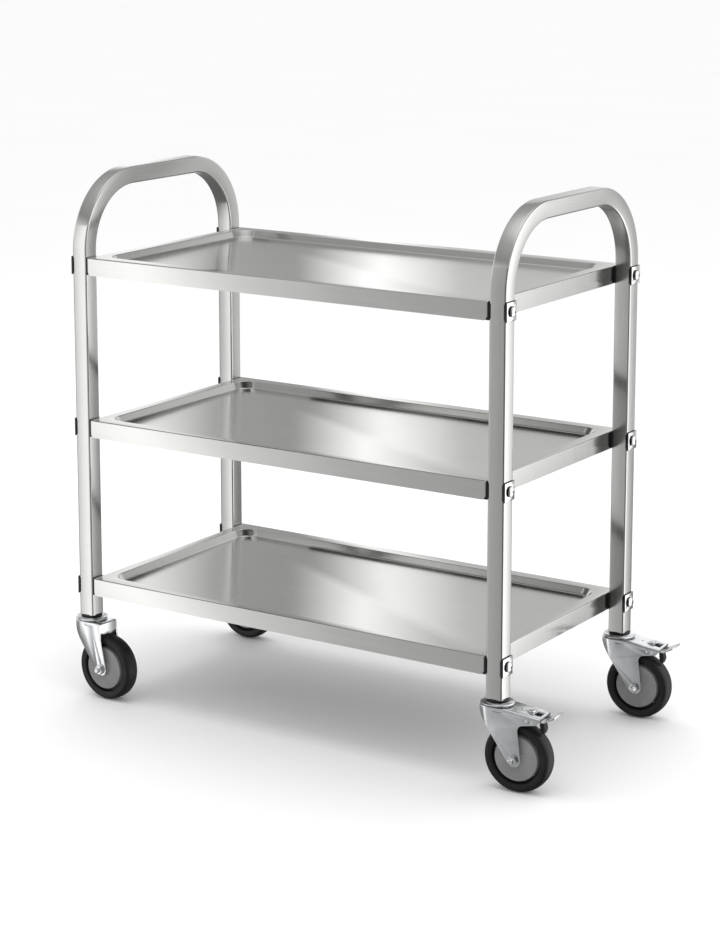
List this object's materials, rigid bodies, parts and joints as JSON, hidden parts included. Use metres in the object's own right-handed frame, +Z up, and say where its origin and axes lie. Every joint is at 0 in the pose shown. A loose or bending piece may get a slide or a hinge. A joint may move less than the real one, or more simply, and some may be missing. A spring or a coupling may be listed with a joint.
{
  "type": "food service trolley",
  "caption": "Tiered steel service trolley: pressed tray shelves bolted between bent square-tube end frames with push handles, on swivel castors, some with a foot brake.",
  "frame": {"origin": "middle of the trolley's footprint at rest, on the floor", "axes": "+X along the trays towards the braked castors, +Y from front to back, +Z up"},
  "size_m": [0.8749, 0.4438, 0.8435],
  "materials": {
    "brushed_tube": "brushed stainless steel tube, grain along its length",
    "brushed_tray": "brushed stainless steel sheet, grain along the tray",
    "polished_fixing": "bright stainless steel bolts and plates",
    "zinc_plate": "bright zinc-plated pressed steel, satin",
    "black_plastic": "black moulded plastic",
    "black_rubber": "black rubber",
    "grey_plastic": "mid-grey moulded plastic",
    "tyre_rubber": "dark grey rubber, satin tread"
  },
  "bodies": {
    "trolley_frame": {"end_frame_left": "brushed_tube", "end_frame_right": "brushed_tube", "bottom_shelf": "brushed_tray", "middle_shelf": "brushed_tray", "top_shelf": "brushed_tray", "bottom_shelf_bolt_front_left": "polished_fixing", "bottom_shelf_saddle_front_left": "black_plastic", "bottom_shelf_bolt_front_right": "polished_fixing", "bottom_shelf_saddle_front_right": "black_plastic", "bottom_shelf_bolt_back_left": "polished_fixing", "bottom_shelf_saddle_back_left": "black_plastic", "bottom_shelf_bolt_back_right": "polished_fixing", "bottom_shelf_saddle_back_right": "black_plastic", "middle_shelf_bolt_front_left": "polished_fixing", "middle_shelf_saddle_front_left": "black_plastic", "middle_shelf_bolt_front_right": "polished_fixing", "middle_shelf_saddle_front_right": "black_plastic", "middle_shelf_bolt_back_left": "polished_fixing", "middle_shelf_saddle_back_left": "black_plastic", "middle_shelf_bolt_back_right": "polished_fixing", "middle_shelf_saddle_back_right": "black_plastic", "top_shelf_bolt_front_left": "polished_fixing", "top_shelf_saddle_front_left": "black_plastic", "top_shelf_bolt_front_right": "polished_fixing", "top_shelf_saddle_front_right": "black_plastic", "top_shelf_bolt_back_left": "polished_fixing", "top_shelf_saddle_back_left": "black_plastic", "top_shelf_bolt_back_right": "polished_fixing", "top_shelf_saddle_back_right": "black_plastic", "front_left_leg_insert": "black_plastic", "front_left_swivel_head": "zinc_plate", "front_right_leg_insert": "black_plastic", "front_right_swivel_head": "zinc_plate", "back_left_leg_insert": "black_plastic", "back_left_swivel_head": "zinc_plate", "back_right_leg_insert": "black_plastic", "back_right_swivel_head": "zinc_plate"},
    "front_left_castor": {"front_left_fork": "zinc_plate", "front_left_axle": "zinc_plate"},
    "front_left_wheel": {"front_left_hub": "grey_plastic", "front_left_tyre": "tyre_rubber"},
    "front_right_castor": {"front_right_fork": "zinc_plate", "front_right_axle": "zinc_plate", "front_right_pivot_pin": "zinc_plate"},
    "front_right_wheel": {"front_right_hub": "grey_plastic", "front_right_tyre": "tyre_rubber"},
    "front_right_brake": {"front_right_brake_pedal": "zinc_plate", "front_right_brake_shoe": "black_rubber"},
    "back_left_castor": {"back_left_fork": "zinc_plate", "back_left_axle": "zinc_plate"},
    "back_left_wheel": {"back_left_hub": "grey_plastic", "back_left_tyre": "tyre_rubber"},
    "back_right_castor": {"back_right_fork": "zinc_plate", "back_right_axle": "zinc_plate", "back_right_pivot_pin": "zinc_plate"},
    "back_right_wheel": {"back_right_hub": "grey_plastic", "back_right_tyre": "tyre_rubber"},
    "back_right_brake": {"back_right_brake_pedal": "zinc_plate", "back_right_brake_shoe": "black_rubber"}
  },
  "joints": [
    {"name": "front_left_swivel", "type": "hinge", "parent": "trolley_frame", "child": "front_left_castor", "pos_m": [-0.4105, -0.1884, 0.1257], "axis": [0, 0, 1], "continuous": true},
    {"name": "front_left_wheel_spin", "type": "hinge", "parent": "front_left_castor", "child": "front_left_wheel", "pos_m": [-0.37555, -0.19023, 0.052], "axis": [0.0523, 0.9986, 0], "continuous": true},
    {"name": "front_right_swivel", "type": "hinge", "parent": "trolley_frame", "child": "front_right_castor", "pos_m": [0.3395, -0.1884, 0.1257], "axis": [0, 0, 1], "continuous": true},
    {"name": "front_right_wheel_spin", "type": "hinge", "parent": "front_right_castor", "child": "front_right_wheel", "pos_m": [0.37439, -0.18565, 0.052], "axis": [-0.0785, 0.9969, 0], "continuous": true},
    {"name": "front_right_brake_press", "type": "hinge", "parent": "front_right_castor", "child": "front_right_brake", "pos_m": [0.39533, -0.18401, 0.113], "axis": [-0.0785, 0.9969, 0], "range_deg": [0, 8]},
    {"name": "back_left_swivel", "type": "hinge", "parent": "trolley_frame", "child": "back_left_castor", "pos_m": [-0.4105, 0.1916, 0.1257], "axis": [0, 0, 1], "continuous": true},
    {"name": "back_left_wheel_spin", "type": "hinge", "parent": "back_left_castor", "child": "back_left_wheel", "pos_m": [-0.3755, 0.1916, 0.052], "axis": [0, 1, 0], "continuous": true},
    {"name": "back_right_swivel", "type": "hinge", "parent": "trolley_frame", "child": "back_right_castor", "pos_m": [0.3395, 0.1916, 0.1257], "axis": [0, 0, 1], "continuous": true},
    {"name": "back_right_wheel_spin", "type": "hinge", "parent": "back_right_castor", "child": "back_right_wheel", "pos_m": [0.37437, 0.19465, 0.052], "axis": [-0.0872, 0.9962, 0], "continuous": true},
    {"name": "back_right_brake_press", "type": "hinge", "parent": "back_right_castor", "child": "back_right_brake", "pos_m": [0.39529, 0.19648, 0.113], "axis": [-0.0872, 0.9962, 0], "range_deg": [0, 8]}
  ]
}
